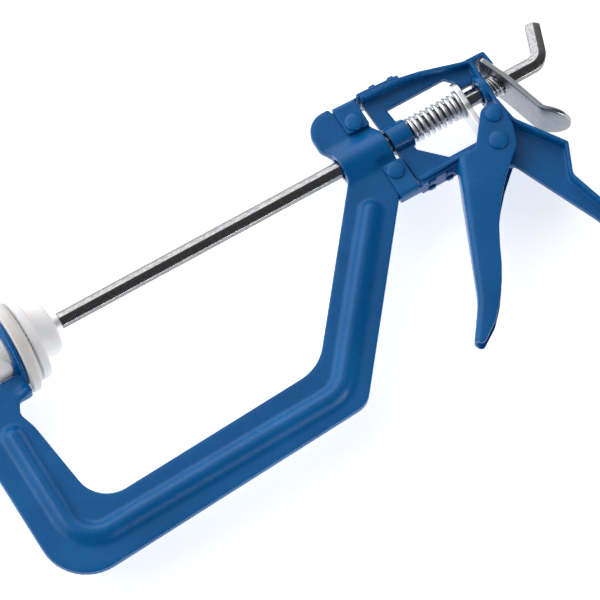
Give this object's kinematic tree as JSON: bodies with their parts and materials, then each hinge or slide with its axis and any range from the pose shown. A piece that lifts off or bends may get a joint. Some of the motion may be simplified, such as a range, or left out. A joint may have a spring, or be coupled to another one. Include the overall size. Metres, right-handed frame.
{
  "type": "one-handed spring clamp",
  "caption": "One-handed spring clamp: pressed blue C-frame, sliding hexagon rod with round white pads, trigger drive and quick-release plate.",
  "frame": {"origin": "on the flat crown of the rear stiffening rib, the point that lies on a bench, 40 mm along the rod from the plane where the two pads meet", "axes": "+X along the rod from the fixed jaw to the bent rod end, +Y from the frame's spine to the rod, +Z square to the flat frame"},
  "size_m": [0.3466, 0.1603, 0.0486],
  "materials": {
    "paint": "semi-gloss powder coat",
    "rod": "bright drawn and plated",
    "zinc": "bright zinc plated",
    "steel": "plain turned",
    "nylon": "satin moulded nylon"
  },
  "bodies": {
    "frame": {"frame_front_half": "paint", "frame_rear_half": "paint", "body_front_shell": "paint", "body_rear_shell": "paint", "upper_strap": "paint", "lower_strap": "paint", "upper_head_rivet": "paint", "lower_head_rivet": "paint", "fixed_pad": "nylon", "fixed_pad_clip": "zinc", "trigger_pivot_pin": "paint", "drive_spring": "zinc", "release_spring": "zinc"},
    "rod": {"clamp_rod": "rod", "pad_retaining_collar": "steel"},
    "pad": {"moving_pad": "nylon"},
    "trigger": {"trigger_lever": "paint", "drive_pin": "paint"},
    "drive": {"drive_plate": "zinc", "drive_spring_washer": "zinc"},
    "release": {"release_plate": "zinc"}
  },
  "joints": [
    {"name": "rod_slide", "type": "slide", "parent": "frame", "child": "rod", "axis": [1, 0, 0], "range_m": [0, 0.15]},
    {"name": "pad_swivel", "type": "hinge", "parent": "rod", "child": "pad", "pos_m": [-0.03, 0.1062, 0.0065], "axis": [1, 0, 0], "continuous": true},
    {"name": "trigger_pull", "type": "hinge", "parent": "frame", "child": "trigger", "pos_m": [0.2101, 0.0767, 0.0065], "axis": [0, 0, 1], "range_deg": [0, 28], "stiffness_Nm_per_rad": 0.8, "springref_deg": -11.46},
    {"name": "drive_plate_slide", "type": "slide", "parent": "frame", "child": "drive", "axis": [-1, 0, 0], "range_m": [0, 0.0072], "deforming": ["drive_spring"]},
    {"name": "release_plate_press", "type": "hinge", "parent": "frame", "child": "release", "pos_m": [0.2242, 0.117, 0.0065], "axis": [0, 0, -1], "range_deg": [0, 11], "stiffness_Nm_per_rad": 0.6, "springref_deg": -8.59, "deforming": ["release_spring"]}
  ],
  "couplings": [
    {"joint": "drive_plate_slide", "follows": "trigger_pull", "m_per_rad": 0.0141}
  ]
}
